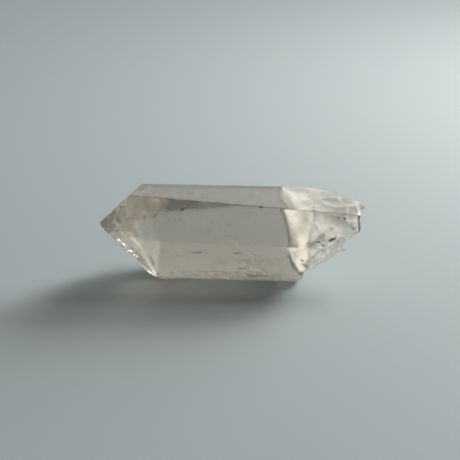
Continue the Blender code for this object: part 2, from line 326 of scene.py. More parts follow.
# The camera's target, sensor and lens are in millimetres, and where its view starts is in metres.
CAMERA_TARGET = np.array([-1.37, 0.0, 15.7])
SENSOR_WIDTH = 36.0
FOCAL_LENGTH = 84.52
CLIP_START = 0.01

# Rows and columns of the surfaces, and the rows that round the bends at the ends of the ridges.
POINT_ROWS = 110
BEND_ROWS = 5
PRISM_ROWS = 70
BREAK_ROWS = 56
CRACKED_ROWS = 60
CRACKED_AROUND = 420
CRACKED_THICKNESS = 0.08
ARC_STEPS = 6
SIDE_STEPS = 44

# The most of a side that one rounded corner takes up.
CORNER_SHARE = 0.3


def linear(colour):
    """A colour's linear values from its sRGB hex text."""
    text = colour.lstrip("#")
    values = [int(text[at : at + 2], 16) / 255 for at in (0, 2, 4)]
    return [v / 12.92 if v <= 0.04045 else ((v + 0.055) / 1.055) ** 2.4 for v in values]


def unit(vectors):
    """Vectors over their own lengths."""
    return vectors / np.maximum(np.linalg.norm(vectors, axis=-1, keepdims=True), 1e-12)


def face_planes():
    """The prism faces' outward normals and distances.

    A normal is (sin lean, side cos elevation cos lean, sin elevation cos lean).
    """
    elevation, lean, side, far = np.array(PRISM_FACES).T
    up, along = np.radians(elevation), np.radians(lean)
    across = np.cos(along)
    return np.column_stack([np.sin(along), side * np.cos(up) * across, np.sin(up) * across]), far


def ridge_points(x):
    """Where each ridge crosses the plane at its own x: the two faces' planes solved for y and z."""
    normals, far = face_planes()
    before, before_far = np.roll(normals, 1, axis=0), np.roll(far, 1)
    right_a, right_b = before_far - before[:, 0] * x, far - normals[:, 0] * x
    size = before[:, 1] * normals[:, 2] - before[:, 2] * normals[:, 1]
    y = (right_a * normals[:, 2] - right_b * before[:, 2]) / size
    z = (before[:, 1] * right_b - normals[:, 1] * right_a) / size
    return np.column_stack([x, y, z])


def chipped_edge(share):
    """The place at a share of the way down the chipped edge, from the tip to its foot on the rest face."""
    return TIP + (ridge_points(RIDGE_ENDS)[REST] - TIP) * share


def bezier(start, corner, end, s):
    """Places on a quadratic curve: (1 - s)2 start + 2 s (1 - s) corner + s2 end."""
    return (1 - s) ** 2 * start + 2 * s * (1 - s) * corner + s**2 * end


def break_axes():
    """The way that the break faces, and the two directions across it, the first of them level."""
    azimuth, elevation = math.radians(BREAK_AZIMUTH), math.radians(BREAK_ELEVATION)
    level = math.cos(elevation)
    facing = np.array([level * math.cos(azimuth), level * math.sin(azimuth), math.sin(elevation)])
    across = np.array([-math.sin(azimuth), math.cos(azimuth), 0.0])
    return facing, across, np.cross(facing, across)


def spline_kernel(squared):
    """The thin plate's own function of a squared distance r2: r2 log r2."""
    return squared * np.log(np.maximum(squared, 1e-9))


def thin_plate(across, up, height, relaxing):
    """The weights of a thin plate through places with heights: one for each place, then a plane's three."""
    count = len(height)
    system = np.zeros((count + 3, count + 3))
    apart = (across[:, None] - across) ** 2 + (up[:, None] - up) ** 2
    system[:count, :count] = spline_kernel(apart) + relaxing * np.eye(count)
    system[:count, count:] = np.column_stack([np.ones(count), across, up])
    system[count:, :count] = system[:count, count:].T
    return np.linalg.solve(system, np.concatenate([height, np.zeros(3)]))


def plate_height(p, q, across, up, weights):
    """Height of a thin plate over places: the kernel from each of its points, weighted, plus a plane."""
    squared = (p[..., None] - across) ** 2 + (q[..., None] - up) ** 2
    return spline_kernel(squared) @ weights[:-3] + weights[-3] + weights[-2] * p + weights[-1] * q


def bent_sheet(p, q):
    """Height of a thin plate, bent through the rim of the break, over places across it."""
    facing, across, up = break_axes()
    rim_p, rim_q = BREAK_RIM @ across, BREAK_RIM @ up
    weights = thin_plate(rim_p, rim_q, BREAK_RIM @ facing, BREAK_RELAXING)
    return plate_height(p, q, rim_p, rim_q, weights)


def from_rim(p, q):
    """Distance across the break from each place to the nearest point of the rim."""
    _, across, up = break_axes()
    steps = np.arange(RIM_STEPS)[:, None, None] / RIM_STEPS
    fine = (BREAK_RIM * (1 - steps) + np.roll(BREAK_RIM, -1, axis=0) * steps).reshape(-1, 3)
    away = (p[..., None] - fine @ across) ** 2 + (q[..., None] - fine @ up) ** 2
    return np.sqrt(away.min(axis=-1))


def bowls(p, q, places, radius):
    """Height of the nearest of many bowls over each place: the least of r2 / (2 radius) + offset."""
    lowest = np.full_like(p, np.inf)
    for bowl_p, bowl_q, offset in places:
        squared = (p - bowl_p) ** 2 + (q - bowl_q) ** 2
        lowest = np.minimum(lowest, squared / (2 * radius) + offset)
    return lowest


def scallop_bowls():
    """Places and offsets of the break's bowls, drawn as the solid's are."""
    drawn = random.Random(SCALLOP_SEED)
    reach = BREAK_HALF_SIDE
    return [
        (drawn.uniform(-reach, reach), drawn.uniform(-reach, reach), drawn.uniform(0.0, SCALLOP_OFFSET))
        for _ in range(SCALLOP_COUNT)
    ]


def break_height(p, q):
    """Height of the break over places across it: the bent sheet plus the bowls, which fade at the rim."""
    _, across, up = break_axes()
    middle = BREAK_RIM.mean(axis=0)
    fade = 1 - (1 - SCALLOP_AT_RIM) * np.exp(-((from_rim(p, q) / SCALLOP_FADE) ** 2))
    hollows = bowls(p - middle @ across, q - middle @ up, scallop_bowls(), SCALLOP_RADIUS) - SCALLOP_MEAN
    return bent_sheet(p, q) + hollows * fade


def break_places(p, q):
    """Places on the break, over places across it."""
    facing, across, up = break_axes()
    return break_height(p, q)[..., None] * facing + p[..., None] * across + q[..., None] * up


def rounded_ring(corners, width):
    """Rings with rounded corners, from corners of shape (6, rows, 3).

    Each corner is a quadratic Bezier curve that starts one width before it and ends one width after
    it. Between two corners, places are spread by half a cosine, so that they crowd towards the
    ridges. The result has the shape (around, rows, 3).
    """
    ahead = np.roll(corners, -1, axis=0) - corners
    length = np.linalg.norm(ahead, axis=-1, keepdims=True)
    reach = np.minimum(width, CORNER_SHARE * length)
    step = reach * ahead / np.maximum(length, 1e-9)
    back_step = np.roll(reach, 1, axis=0) * np.roll(unit(ahead), 1, axis=0)
    start, end = corners - back_step, corners + step
    next_start = np.roll(start, -1, axis=0)
    s = np.linspace(0, 1, ARC_STEPS)[None, :, None, None]
    arc = bezier(start[:, None], corners[:, None], end[:, None], s)
    share = np.arange(1, SIDE_STEPS + 1) / (SIDE_STEPS + 1)
    t = (0.5 - 0.5 * np.cos(np.pi * share))[None, :, None, None]
    side = end[:, None] * (1 - t) + next_start[:, None] * t
    rows = corners.shape[1]
    return np.concatenate([arc, side], axis=1).reshape(-1, rows, 3)


def skin_rows(edge_width):
    """All rows of the crystal's skin, shape (around, rows, 3), and each row's share of being break.

    From the tip each ridge runs straight to its end on the prism, bends there by a quadratic Bezier
    curve, and goes on along the prism to the break. Over the break, places are drawn in from the rim
    to its middle, at the break's own height.
    """
    ends = ridge_points(RIDGE_ENDS)
    along = unit(ridge_points(RIDGE_ENDS + 1.0) - ends)
    from_tip = unit(ends - TIP)
    share = np.linspace(0, 1, POINT_ROWS + 1)[1:]
    reach = np.linalg.norm(ends - TIP, axis=1, keepdims=True) - edge_width
    point = TIP + from_tip[:, None] * (reach * share[None])[..., None]
    s = np.linspace(0, 1, BEND_ROWS + 2)[1:][None, :, None]
    bend_start, bend_end = ends - from_tip * edge_width, ends + along * edge_width
    bend = bezier(bend_start[:, None], ends[:, None], bend_end[:, None], s)
    rings = rounded_ring(np.concatenate([point, bend], axis=1), edge_width)
    foot = rings[:, -1]
    pair = rounded_ring(np.stack([bend_end, bend_end + along], axis=1), edge_width)
    onward = pair[:, 1] - pair[:, 0]
    rim_at = run_to_break(foot, onward)
    share = np.linspace(0, 1, PRISM_ROWS + 1)[1:][None, :, None]
    prism = foot[:, None] + onward[:, None] * (rim_at[:, None, None] * share)
    _, across, up = break_axes()
    rim = prism[:, -1]
    middle = BREAK_RIM.mean(axis=0)
    share = np.linspace(0, 1, BREAK_ROWS + 1)[1:-1][None, :]
    p = (rim @ across)[:, None] * (1 - share) + (middle @ across) * share
    q = (rim @ up)[:, None] * (1 - share) + (middle @ up) * share
    broken = break_places(p, q)
    rows = np.concatenate([rings, prism, broken], axis=1)
    is_break = np.zeros(rows.shape[1])
    is_break[-broken.shape[1] :] = 1.0
    return rows, is_break


def run_to_break(foot, onward):
    """How far each line along the prism runs to its first meeting with the break.

    The gap is the line's height over the break. It is looked at step by step, and the step in which
    it first changes sign is then halved down.
    """
    facing, across, up = break_axes()

    def gap(run):
        place = foot[:, None] + onward[:, None] * run[..., None]
        return place @ facing - break_height(place @ across, place @ up)

    tries = np.tile(np.arange(*SEEK_RUNS, SEEK_STEP), (len(foot), 1))
    beyond = gap(tries) > 0
    first = np.maximum(beyond.argmax(axis=1), 1)
    far = tries[np.arange(len(foot)), first]
    near = far - SEEK_STEP
    for _ in range(SEEK_HALVINGS):
        half = (near + far) / 2
        past = gap(half[:, None])[:, 0] > 0
        far, near = np.where(past, half, far), np.where(past, near, half)
    return (near + far) / 2


def sight_lines(a, b):
    """Places across the look, and the depths where the look enters and leaves the prism, less a margin."""
    normals, far = face_planes()
    flat = a[..., None] * LOOK_ACROSS + b[..., None] * LOOK_UP
    toward = normals @ LOOK
    crossed = (far - CRACKED_MARGIN - flat @ normals.T) / toward
    return flat, crossed[..., toward < 0].max(axis=-1), crossed[..., toward > 0].min(axis=-1)


def to_break(places):
    """How far inside the break places are, the way that it faces."""
    facing, across, up = break_axes()
    return break_height(places @ across, places @ up) - places @ facing


def drawn_in(edge):
    """The sheet's edge, with each place outside the crystal moved towards the middle until it is inside."""
    for _ in range(CRACKED_SHRINK_STEPS):
        flat, entry, leaving = sight_lines(edge[:, :1], edge[:, 1:])
        out = (to_break(flat + entry[..., None] * LOOK) < CRACKED_MARGIN) | (leaving < entry)
        edge = np.where(out, CRACKED_MIDDLE + CRACKED_SHRINK * (edge - CRACKED_MIDDLE), edge)
    return edge


def cracked_rows():
    """Rows of the thin sheet of cracks inside the broken end, shape (around, rows, 3), and its wall.

    Over each place across the look, its depth is a thin plate's through the rim, plus a bulge that
    grows away from the rim as 1 - exp(-(d / reach)2), plus bowls. It stays a margin inside the faces
    and the break. The outer rows run out from the middle to the rim, and the inner rows run back. The
    wall is how far inside the break each place lies, from 0 to 1.
    """
    drawn = np.random.default_rng(CRACKED_SEED)
    steps = np.arange(CRACKED_AROUND) / CRACKED_AROUND * len(CRACKED_RIM)
    at = steps.astype(int)
    part = (steps - at)[:, None]
    rim = CRACKED_RIM[at] * (1 - part) + CRACKED_RIM[(at + 1) % len(CRACKED_RIM)] * part
    edge = np.column_stack([rim[:, 0], rim @ LOOK_UP])
    ragged = drawn.normal(size=(CRACKED_AROUND, 2))
    ragged = ragged + 1.5 * np.roll(ragged, 1, axis=0) + np.roll(ragged, 2, axis=0)
    edge = edge + CRACKED_RAGGED * 0.5 * ragged
    share = (1 - np.linspace(0, 1, CRACKED_ROWS + 1)[:-1] ** CRACKED_CROWDING)[None, :]
    edge = drawn_in(edge)
    a = (edge[:, :1] - CRACKED_MIDDLE[0]) * share + CRACKED_MIDDLE[0]
    b = (edge[:, 1:] - CRACKED_MIDDLE[1]) * share + CRACKED_MIDDLE[1]
    rim_a, rim_b = CRACKED_RIM[:, 0], CRACKED_RIM @ LOOK_UP
    depth = plate_height(a, b, rim_a, rim_b, thin_plate(rim_a, rim_b, CRACKED_RIM @ LOOK, CRACKED_RELAXING))
    apart = np.sqrt(((a[..., None] - edge[::4, 0]) ** 2 + (b[..., None] - edge[::4, 1]) ** 2).min(axis=-1))
    inward = 1 - np.exp(-((apart / CRACKED_BULGE_REACH) ** 2))
    limits = np.transpose([CRACKED_BOWLS_ACROSS, CRACKED_BOWLS_UP, (0, CRACKED_BOWL_OFFSET)])
    places = drawn.uniform(*limits, (CRACKED_BOWLS, 3))
    hollows = bowls(a, b, places, CRACKED_BOWL_RADIUS) * np.minimum(apart / CRACKED_BOWL_FADE, 1.0)
    depth = depth + CRACKED_BULGE * inward + hollows
    flat, entry, leaving = sight_lines(a, b)
    deepest = np.maximum(np.minimum(depth, leaving), (entry + leaving) / 2)
    near = np.minimum(entry, deepest)
    for _ in range(CRACKED_HALVINGS):
        half = (near + deepest) / 2
        beyond = to_break(flat + half[..., None] * LOOK) < CRACKED_MARGIN
        near, deepest = np.where(beyond, near, half), np.where(beyond, half, deepest)
    layer = flat + near[..., None] * LOOK
    wall = np.clip((to_break(layer) - CRACKED_MARGIN) / CRACKED_WALL, 0.0, 1.0)
    rows = np.concatenate([layer[:, ::-1], layer + CRACKED_THICKNESS * LOOK], axis=1)
    return rows, np.concatenate([wall[:, ::-1], wall], axis=1)


def lens(sheet, middle, facing, thickness, r):
    """A thin closed lens about a sheet of places, thick as sqrt(1 - taper r2) at a share r of its outline."""
    half = (0.5 * thickness * np.sqrt(1 - LENS_TAPER * r**2) * np.ones((len(sheet), 1)))[..., None] * facing
    rows = np.concatenate([sheet - half, (sheet + half)[:, ::-1]], axis=1)
    tip = 0.5 * thickness * facing
    return rows, middle - tip, middle + tip


def veil_parts():
    """The veils as closed parts, with how dark each vertex is and how much light it catches.

    A veil is a thin lens across the look, with a ragged outline, bent in depth as r2.
    """
    drawn = np.random.default_rng(VEIL_SEED)
    angle = np.linspace(0, 2 * np.pi, VEIL_AROUND, endpoint=False)[:, None]
    r = np.linspace(0, 1, VEIL_ROWS + 1)[1:][None, :]
    parts, dark, cover = [], [], []
    for x, y, z, length, height, turn, is_dark, caught in VEILS:
        ragged = 1 + sum(
            drawn.uniform(-VEIL_WAVE, VEIL_WAVE) * np.cos(k * angle + drawn.uniform(0, WHOLE_TURN))
            for k in VEIL_WAVES
        )
        turned = math.radians(turn)
        along, upward = length * ragged * r * np.cos(angle), height * ragged * r * np.sin(angle)
        a = along * math.cos(turned) - upward * math.sin(turned)
        b = along * math.sin(turned) + upward * math.cos(turned)
        bend = VEIL_BEND * min(length, VEIL_BEND_LENGTH) * r**2 * np.ones_like(angle)
        middle = np.array([x, y, z])
        sheet = middle + a[..., None] * LOOK_ACROSS + b[..., None] * LOOK_UP + bend[..., None] * LOOK
        parts.append(lens(sheet, middle, LOOK, VEIL_THICKNESS, r))
        fade = caught * (1 - r**2) * np.ones_like(angle)
        cover += [*np.concatenate([fade, fade[:, ::-1]], axis=1).ravel(), caught, caught]
        dark += [float(is_dark)] * (2 * fade.size + 2)
    return parts, np.array(dark), np.array(cover)


def flash_parts():
    """The small mirror cracks beneath the chips, as closed parts: flat, ragged lenses."""
    drawn = np.random.default_rng(FLASH_SEED)
    angle = np.linspace(0, 2 * np.pi, FLASH_AROUND, endpoint=False)[:, None]
    r = np.array(FLASH_SHARES)[None, :]
    parts = []
    for share, spread, count in FLASH_CLUMPS:
        for _ in range(count):
            facing = unit(FLASH_FACING + drawn.normal(0.0, FLASH_SPREAD, 3))
            across = unit(np.cross(facing, LOOK_UP))
            up = np.cross(facing, across)
            size = drawn.uniform(*FLASH_SIZE)
            ragged = size * (1 + FLASH_RAGGED * np.cos(3 * angle + drawn.uniform(0, WHOLE_TURN)))
            at = chipped_edge(share + spread * drawn.uniform(-1, 1))
            middle = at - unit(CHIP_AWAY) * drawn.uniform(*FLASH_DEPTH) + drawn.normal(0.0, FLASH_ASIDE, 3)
            a = (ragged * r * np.cos(angle))[..., None]
            b = (FLASH_NARROWER * ragged * r * np.sin(angle))[..., None]
            parts.append(lens(middle + a * across + b * up, middle, facing, FLASH_THICKNESS, r))
    return parts


def chip_balls():
    """Centres and radii of the balls that chip the front edge of the point, drawn as the solid's are."""
    drawn = random.Random(CHIP_SEED)
    balls = []
    for number in range(CHIP_COUNT):
        share = CHIP_SPAN[0] + (CHIP_SPAN[1] - CHIP_SPAN[0]) * (number + drawn.random()) / CHIP_COUNT
        radius = drawn.uniform(*CHIP_RADIUS)
        depth = drawn.uniform(*CHIP_DEPTH)
        aside = np.array([drawn.uniform(-CHIP_ASIDE, CHIP_ASIDE) for _ in range(3)])
        balls.append((chipped_edge(share) + unit(CHIP_AWAY) * (radius - depth) + aside, radius))
    return balls


def fine_chips():
    """Centres and radii of the balls of the finer chips, and of the one that blunts the tip."""
    drawn = np.random.default_rng(FINE_SEED)
    away, radius, depth = TIP_CHIP
    balls = [(TIP + unit(away) * (radius - depth), radius)]
    for middle, spread, count in FINE_CLUMPS:
        for _ in range(count):
            share = middle + spread * drawn.uniform(-1, 1)
            radius, depth = drawn.uniform(*FINE_RADIUS), drawn.uniform(*FINE_DEPTH)
            away = unit(FINE_AWAY + drawn.normal(0.0, FINE_AWAY_SPREAD, 3))
            aside = drawn.normal(0.0, FINE_ASIDE, 3)
            balls.append((chipped_edge(share) + away * (radius - depth) + aside, radius))
    return balls


def dented(places):
    """Places inside a long ball on the rest face's edge are pushed out from its axis to its surface."""
    start, end = ridge_points(np.full(6, DENT_X))[REST], ridge_points(np.full(6, DENT_X + 1.0))[REST]
    axis = unit(end - start)
    centre = start + unit(DENT_AWAY) * (DENT_RADIUS - DENT_DEPTH)
    away = places - centre
    along = (away @ axis)[..., None]
    across = away - along * axis
    lengthways = (along / DENT_HALF_LENGTH) ** 2
    sideways = (np.linalg.norm(across, axis=-1, keepdims=True) / DENT_RADIUS) ** 2
    width = DENT_RADIUS * np.sqrt(np.maximum(1 - lengthways, 0.0))
    return np.where(lengthways + sideways < 1, centre + along * axis + unit(across) * width, places)


def cleaved(places, normal, through):
    """Places beyond a plane are moved straight back to it."""
    normal = unit(normal)
    beyond = np.maximum((places - through) @ normal, 0.0)
    return places - beyond[..., None] * normal


def chipped(places, balls):
    """Places inside a ball are pushed straight out from its centre to its surface."""
    chip = np.zeros(places.shape[:-1])
    for centre, radius in balls:
        away = places - centre
        distance = np.linalg.norm(away, axis=-1, keepdims=True)
        inside = distance < radius
        places = np.where(inside, centre + away / np.maximum(distance, 1e-9) * radius, places)
        chip = np.maximum(chip, inside[..., 0])
    return places, chip


def closed_surfaces(name, parts):
    """A mesh of closed parts, each a grid (around, rows, 3) that meets in one place at each end."""
    places, corners, sizes, base = [], [], [], 0
    for rows, start, end in parts:
        around, count = rows.shape[:2]
        i, j = np.meshgrid(np.arange(around), np.arange(count - 1), indexing="ij")
        near, far = i * count + j, (i + 1) % around * count + j
        quads = np.stack([near, far, far + 1, near + 1], axis=-1).reshape(-1, 4)
        ring = np.arange(around)
        following = (ring + 1) % around
        whole = np.full(around, around * count)
        first = np.stack([whole, following * count, ring * count], axis=-1)
        last = np.stack([whole + 1, (ring + 1) * count - 1, (following + 1) * count - 1], axis=-1)
        corners.append(np.concatenate([quads.ravel(), first.ravel(), last.ravel()]) + base)
        sizes.append(np.concatenate([np.full(len(quads), 4), np.full(2 * around, 3)]))
        places.append(np.concatenate([rows.reshape(-1, 3), [start, end]]))
        base += around * count + 2
    places, corners, sizes = np.concatenate(places), np.concatenate(corners), np.concatenate(sizes)
    mesh = bpy.data.meshes.new(name)
    mesh.vertices.add(len(places))
    mesh.vertices.foreach_set("co", ((places - BOX_MIDDLE) * MM).ravel())
    mesh.loops.add(len(corners))
    mesh.loops.foreach_set("vertex_index", corners.astype(np.int32))
    mesh.polygons.add(len(sizes))
    starts = np.concatenate([[0], np.cumsum(sizes)[:-1]])
    mesh.polygons.foreach_set("loop_start", starts.astype(np.int32))
    mesh.update(calc_edges=True)
    mesh.validate()
    mesh.polygons.foreach_set("use_smooth", np.ones(len(mesh.polygons), dtype=bool))
    return mesh


def set_attribute(mesh, name, values, ends=()):
    """A number at each vertex, for the material to read: first a grid's, then those of its two ends."""
    attribute = mesh.attributes.new(name, "FLOAT", "POINT")
    attribute.data.foreach_set("value", np.concatenate([values.ravel(), ends]).astype(np.float32))


def add_node(tree, kind, settings=None, inputs=None):
    """A node with its settings, and its inputs: each a value or what feeds it.

    It goes one column to the right of whatever feeds it, under what is there already.
    """
    fed = {key: value for key, value in (inputs or {}).items() if isinstance(value, bpy.types.NodeSocket)}
    x = max([source.node.location.x + NODE_COLUMN for source in fed.values()], default=0.0)
    y = -NODE_ROW * sum(other.location.x == x for other in tree.nodes)
    node = tree.nodes.new(kind)
    node.location = x, y
    for key, value in (settings or {}).items():
        setattr(node, key, value)
    for key, value in (inputs or {}).items():
        if key in fed:
            tree.links.new(value, node.inputs[key])
        else:
            node.inputs[key].default_value = value
    return node


def new_material(name):
    """A material with no nodes yet, and its node tree."""
    material = bpy.data.materials.new(name)
    material.use_nodes = True
    material.node_tree.nodes.clear()
    return material, material.node_tree


def finished(material, surface, volume=None):
    """The material, with its output node."""
    inputs = {"Surface": surface.outputs[0]}
    if volume:
        inputs["Volume"] = volume.outputs[0]
    add_node(material.node_tree, "ShaderNodeOutputMaterial", inputs=inputs)
    return material


def colour_value(text):
    """A colour for a node's input, from its sRGB hex text."""
    return (*linear(text), 1.0)


def vertex_value(tree, name):
    """The number that the mesh has at each vertex under a name."""
    return add_node(tree, "ShaderNodeAttribute", {"attribute_name": name}).outputs["Fac"]


def noise(tree, scale, detail, roughness=0.5):
    """Noise in the object's own space, from 0 to 1."""
    where = add_node(tree, "ShaderNodeTexCoord").outputs["Object"]
    inputs = {"Vector": where, "Scale": scale, "Detail": detail, "Roughness": roughness}
    return add_node(tree, "ShaderNodeTexNoise", inputs=inputs).outputs["Fac"]


def ramp(tree, value, start, end, low, high, rise="LINEAR"):
    """A value's range from start to end, stretched to run from low to high, and held beyond it."""
    inputs = {"Value": value, "From Min": start, "From Max": end, "To Min": low, "To Max": high}
    node = add_node(tree, "ShaderNodeMapRange", {"interpolation_type": rise}, inputs)
    return node.outputs["Result"]


def patches(tree, pattern, low, high, roughness=0.5):
    """A noise pattern that runs in patches from low to high."""
    scale, detail, start, end = pattern
    return ramp(tree, noise(tree, scale, detail, roughness), start, end, low, high)


def blend(tree, share, first, second, colours=False):
    """The first number, or colour, turned into the second by a share."""
    kind, at, result = ("RGBA", 6, 2) if colours else ("FLOAT", 2, 0)
    inputs = {0: share, at: first, at + 1: second}
    return add_node(tree, "ShaderNodeMix", {"data_type": kind}, inputs).outputs[result]


def combine(tree, operation, first, second, clamped=False):
    """Two numbers put together."""
    settings = {"operation": operation, "use_clamp": clamped}
    return add_node(tree, "ShaderNodeMath", settings, {0: first, 1: second}).outputs[0]


def clear_quartz(settings):
    """Clear, faintly smoky quartz, grown in flat faces and broken at one end.

    Its growth faces are smooth with a faint haze, its chips are glassy, and its break is finely rough,
    so it looks white. Smoke in it takes more blue than red out of the light, so thick parts look warm
    and grey. Its tip and the far end of its break are frosted, so they look dull, and the far end is
    also tinted darker. A dark tint along the top ridge is painted shade.
    """
    material, tree = new_material("clear smoky quartz")
    broken = vertex_value(tree, "broken")
    chipped_here = vertex_value(tree, "chipped")
    haze = patches(tree, HAZE, settings.face_haze * HAZE_WEAK, settings.face_haze)
    rough = blend(tree, broken, haze, settings.break_roughness)
    rough = blend(tree, chipped_here, rough, settings.chip_roughness)
    where = add_node(tree, "ShaderNodeTexCoord").outputs["Object"]
    inputs = {"Vector": where, "Scale": SPLINTERS}
    splinters = add_node(tree, "ShaderNodeTexVoronoi", inputs=inputs).outputs["Distance"]
    grit = noise(tree, *GRIT)
    relief = blend(tree, chipped_here, grit, splinters)
    either = combine(tree, "MAXIMUM", broken, chipped_here)
    inputs = {"Distance": RELIEF, "Height": relief, "Strength": either}
    bump = add_node(tree, "ShaderNodeBump", inputs=inputs).outputs["Normal"]
    surface, cracked = colour_value(settings.surface_colour), colour_value(settings.crack_colour)
    tint = blend(tree, broken, surface, cracked, colours=True)
    # Painted shade: a dark tint along the top ridge. The same tint also darkens the far end of the break.
    line = vertex_value(tree, "ridge_shade_and_dark_end")
    tint = blend(tree, line, tint, colour_value(settings.ridge_shade_and_end_colour), colours=True)
    crusts = patches(tree, CRUST, CRUST_WEAK, settings.tip_frost)
    frosted = vertex_value(tree, "frosted")
    frost = combine(tree, "MULTIPLY", frosted, crusts)
    clear = ramp(tree, chipped_here, 0.0, 1.0, settings.clearness, 1.0)
    passed = combine(tree, "SUBTRACT", clear, frost, clamped=True)
    inputs = {"Base Color": tint, "Roughness": rough, "IOR": QUARTZ_INDEX, "Transmission Weight": passed}
    shader = add_node(tree, "ShaderNodeBsdfPrincipled", inputs={**inputs, "Normal": bump})
    smoke = {"Color": colour_value(settings.smoke_colour), "Density": settings.smoke_density}
    return finished(material, shader, add_node(tree, "ShaderNodeVolumeAbsorption", inputs=smoke))


def caught_light(tree, colour, returned, cover):
    """Light let through unchanged, or, by the share of cover, spread forwards and, by a share, back."""
    through = add_node(tree, "ShaderNodeBsdfTranslucent", inputs={"Color": colour})
    back = add_node(tree, "ShaderNodeBsdfDiffuse", inputs={"Color": colour})
    clear = add_node(tree, "ShaderNodeBsdfTransparent")
    inputs = {0: returned, 1: through.outputs[0], 2: back.outputs[0]}
    spread = add_node(tree, "ShaderNodeMixShader", inputs=inputs)
    inputs = {0: cover, 1: clear.outputs[0], 2: spread.outputs[0]}
    return add_node(tree, "ShaderNodeMixShader", inputs=inputs)


def cracked_quartz(settings):
    """Quartz full of fine cracks just under a break, which let light through but spread it all ways."""
    material, tree = new_material("finely cracked quartz")
    cover = patches(tree, CRACKS, CRACKS_WEAK, settings.crack_cover, CRACKS_ROUGHNESS)
    returned = ramp(tree, vertex_value(tree, "wall"), 0.0, 1.0, *CRACKS_RETURNED)
    return finished(material, caught_light(tree, colour_value(settings.crack_colour), returned, cover))


def mirror_cracks():
    """Air-filled cracks, whose faces reflect all light that meets them aslant, so they flash white."""
    material, tree = new_material("air-filled cracks in quartz")
    inputs = {"Color": (1.0, 1.0, 1.0, 1.0), "Roughness": FLASH_ROUGHNESS}
    return finished(material, add_node(tree, "ShaderNodeBsdfGlossy", inputs=inputs))


def veiled_quartz(settings):
    """Healed cracks and specks of other minerals, which catch the light as thin wisps and dark marks."""
    material, tree = new_material("veils and specks in quartz")
    wisps = patches(tree, WISPS, *WISPS_RANGE)
    caught = vertex_value(tree, "caught")
    cover = combine(tree, "MULTIPLY", wisps, caught, clamped=True)
    pale, dark = colour_value(settings.crack_colour), colour_value(settings.speck_colour)
    colour = blend(tree, vertex_value(tree, "dark"), pale, dark, colours=True)
    return finished(material, caught_light(tree, colour, VEILS_RETURNED, cover))


def pale_board(settings):
    """A plain matt board, pale and faintly blue."""
    material, tree = new_material("pale matt board")
    inputs = {"Base Color": colour_value(settings.floor_colour), "Roughness": FLOOR_ROUGHNESS}
    return finished(material, add_node(tree, "ShaderNodeBsdfPrincipled", inputs=inputs))


def new_piece(name, mesh, material):
    """An object at the origin, in the scene, with one material."""
    mesh.materials.append(material)
    piece = bpy.data.objects.new(name, mesh)
    bpy.context.scene.collection.objects.link(piece)
    return piece


def light_part(tree, way, direction, rise, low, high):
    """Strength of one part of the room, which rises smoothly as the cosine from its direction does."""
    inputs = {0: way, 1: tuple(unit(np.array(direction)))}
    cosine = add_node(tree, "ShaderNodeVectorMath", {"operation": "DOT_PRODUCT"}, inputs)
    return ramp(tree, cosine.outputs["Value"], *rise, low, high, "SMOOTHSTEP")


def room(settings):
    """The light from the room all round: its bright and dim sides, and its brighter parts."""
    world = bpy.data.worlds.new("room")
    world.use_nodes = True
    tree = world.node_tree
    background = tree.nodes["Background"]
    background.inputs["Color"].default_value = colour_value(settings.sky_colour)
    way = add_node(tree, "ShaderNodeTexCoord").outputs["Generated"]
    total = light_part(tree, way, BRIGHT_SIDE, BRIGHT_SIDE_RISE, settings.dim_side, settings.bright_side)
    for direction, full, faded, strength in BRIGHT_PARTS:
        rise = math.cos(math.radians(faded)), math.cos(math.radians(full))
        part = light_part(tree, way, direction, rise, 0.0, getattr(settings, strength))
        total = combine(tree, "ADD", total, part)
    tree.links.new(total, background.inputs["Strength"])
    return world


def soft_light(name, place, target, side, power):
    """A square light at a place, turned to shine at a target."""
    lamp = bpy.data.lights.new(name, "AREA")
    lamp.color = linear(LAMP_COLOUR)
    lamp.size = side
    lamp.energy = power
    light = bpy.data.objects.new(name, lamp)
    bpy.context.scene.collection.objects.link(light)
    light.location = place
    x, y, z = np.subtract(target, place)
    light.rotation_euler = (math.atan2(math.hypot(x, y), -z), 0.0, math.atan2(y, x) - math.pi / 2)


def front_camera(settings):
    """A camera level with the crystal's length, which looks down at its front."""
    view = bpy.data.cameras.new("camera")
    view.sensor_width = SENSOR_WIDTH
    view.lens = FOCAL_LENGTH
    view.clip_start = CLIP_START
    camera = bpy.data.objects.new("camera", view)
    bpy.context.scene.collection.objects.link(camera)
    down = settings.camera_elevation
    back = np.array([0.0, -math.cos(down), math.sin(down)])
    camera.location = (CAMERA_TARGET - BOX_MIDDLE) * MM + settings.camera_distance * back
    camera.rotation_euler = (math.pi / 2 - down, 0.0, 0.0)
    return camera


